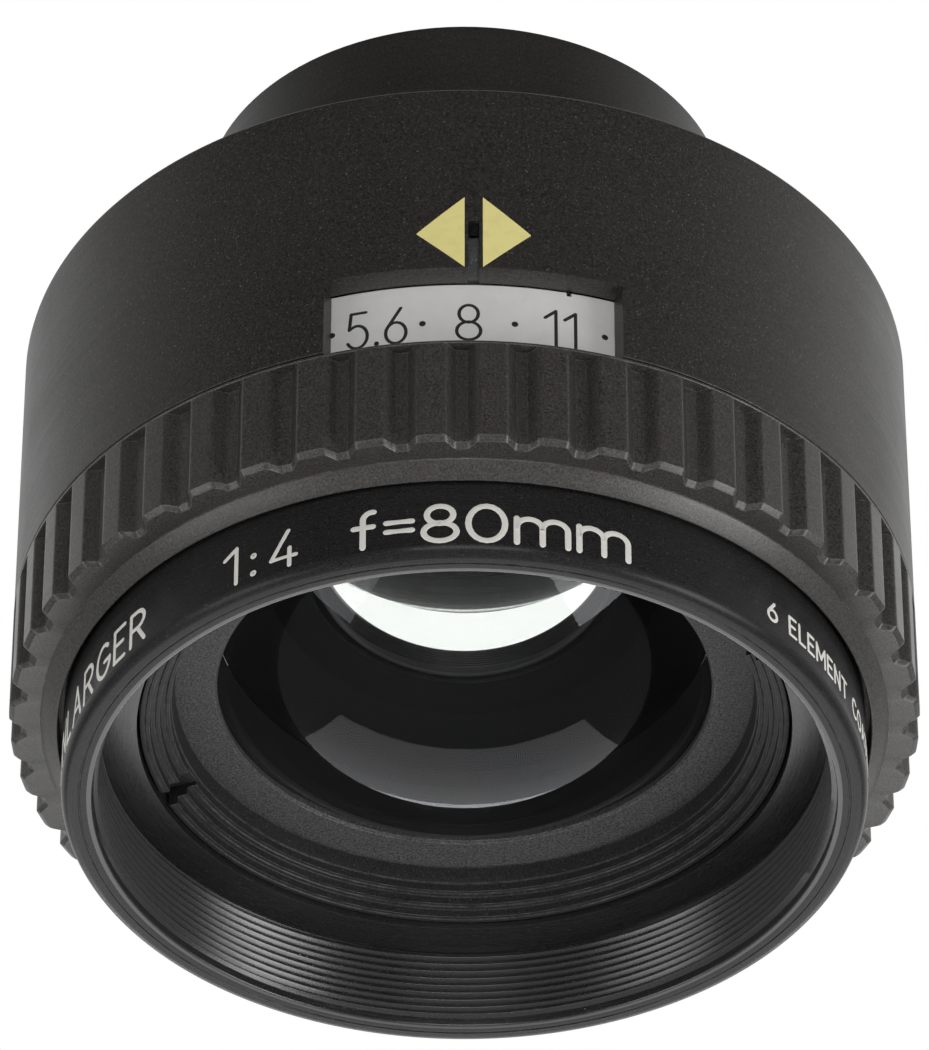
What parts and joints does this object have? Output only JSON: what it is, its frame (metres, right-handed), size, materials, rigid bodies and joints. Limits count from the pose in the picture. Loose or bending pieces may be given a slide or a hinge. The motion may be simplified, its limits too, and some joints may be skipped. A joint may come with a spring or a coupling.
{
  "type": "enlarger lens",
  "caption": "Enlarging lens: threaded mount, shroud with scale window, ribbed aperture ring, filter tube, cemented glass groups and a working blade iris.",
  "frame": {"origin": "centre of the seating face of the mount thread, on the optical axis", "axes": "+Z along the mount thread, away from the front of the lens and into the enlarger; -Y towards the index mark and scale window"},
  "size_m": [0.05, 0.05, 0.0444],
  "materials": {
    "black_anodised": "matte black anodised, fine bead-blast grain",
    "black_satin": "satin black anodised, turned",
    "grey_black": "dark grey anodised, turned",
    "shroud_black": "matte black, fine speckled crackle",
    "scale_silver": "white silver satin anodised",
    "screw_steel": "blackened steel",
    "steel": "bright steel",
    "washer_brass": "satin",
    "cam_aluminium": "satin",
    "blade_black": "blued spring steel, matte",
    "light_guide_plastic": "clear acrylic, polished ends",
    "crown_glass": "polished, magenta-blue coating",
    "flint_glass": "polished, coated",
    "meniscus_glass": "polished, coated"
  },
  "bodies": {
    "lens_body": {"mount_barrel": "black_anodised", "shroud": "shroud_black", "shroud_screws": "screw_steel", "light_guide": "light_guide_plastic", "front_tube": "black_satin", "slip_washer": "washer_brass", "front_retaining_ring": "grey_black", "front_cell": "black_anodised", "front_glass_retainer": "grey_black", "front_crown_glass": "crown_glass", "front_flint_glass": "flint_glass", "front_spacer": "black_anodised", "front_meniscus_glass": "meniscus_glass", "front_meniscus_retainer": "black_anodised", "rear_cell": "black_satin", "rear_glass_retainer": "black_anodised", "rear_crown_glass": "crown_glass", "rear_flint_glass": "flint_glass", "rear_spacer": "black_anodised", "rear_meniscus_glass": "meniscus_glass", "rear_meniscus_retainer": "black_anodised", "iris_base": "black_anodised", "iris_clamp_ring": "black_anodised", "click_spring": "steel"},
    "aperture_ring": {"aperture_carrier": "black_anodised", "grip_ring": "black_satin", "scale_ring": "scale_silver", "drive_screw": "steel", "iris_cam_ring": "cam_aluminium"},
    "click_ball": {"click_ball": "steel"},
    "iris_blade_1": {"iris_blade_1": "blade_black"},
    "iris_blade_2": {"iris_blade_2": "blade_black"},
    "iris_blade_3": {"iris_blade_3": "blade_black"},
    "iris_blade_4": {"iris_blade_4": "blade_black"},
    "iris_blade_5": {"iris_blade_5": "blade_black"}
  },
  "joints": [
    {"name": "aperture_turn", "type": "hinge", "parent": "lens_body", "child": "aperture_ring", "pos_m": [0, 0, -0.0155], "axis": [0, 0, 1], "range_deg": [-36, 24]},
    {"name": "click_ball_slide", "type": "slide", "parent": "lens_body", "child": "click_ball", "axis": [0, 0, -1], "range_m": [0, 0.0002], "stiffness_N_per_m": 200, "springref_m": 0.0006, "deforming": ["click_spring"]},
    {"name": "iris_blade_1_swing", "type": "hinge", "parent": "lens_body", "child": "iris_blade_1", "pos_m": [0.016, 0, -0.0064], "axis": [0, 0, 1], "range_deg": [-10.33, 15.49]},
    {"name": "iris_blade_2_swing", "type": "hinge", "parent": "lens_body", "child": "iris_blade_2", "pos_m": [0.00494, 0.01522, -0.0064], "axis": [0, 0, 1], "range_deg": [-10.33, 15.49]},
    {"name": "iris_blade_3_swing", "type": "hinge", "parent": "lens_body", "child": "iris_blade_3", "pos_m": [-0.01294, 0.0094, -0.0064], "axis": [0, 0, 1], "range_deg": [-10.33, 15.49]},
    {"name": "iris_blade_4_swing", "type": "hinge", "parent": "lens_body", "child": "iris_blade_4", "pos_m": [-0.01294, -0.0094, -0.0064], "axis": [0, 0, 1], "range_deg": [-10.33, 15.49]},
    {"name": "iris_blade_5_swing", "type": "hinge", "parent": "lens_body", "child": "iris_blade_5", "pos_m": [0.00494, -0.01522, -0.0064], "axis": [0, 0, 1], "range_deg": [-10.33, 15.49]}
  ],
  "couplings": [
    {"joint": "iris_blade_1_swing", "follows": "aperture_turn", "ratio": -0.43037},
    {"joint": "iris_blade_2_swing", "follows": "aperture_turn", "ratio": -0.43037},
    {"joint": "iris_blade_3_swing", "follows": "aperture_turn", "ratio": -0.43037},
    {"joint": "iris_blade_4_swing", "follows": "aperture_turn", "ratio": -0.43037},
    {"joint": "iris_blade_5_swing", "follows": "aperture_turn", "ratio": -0.43037}
  ]
}
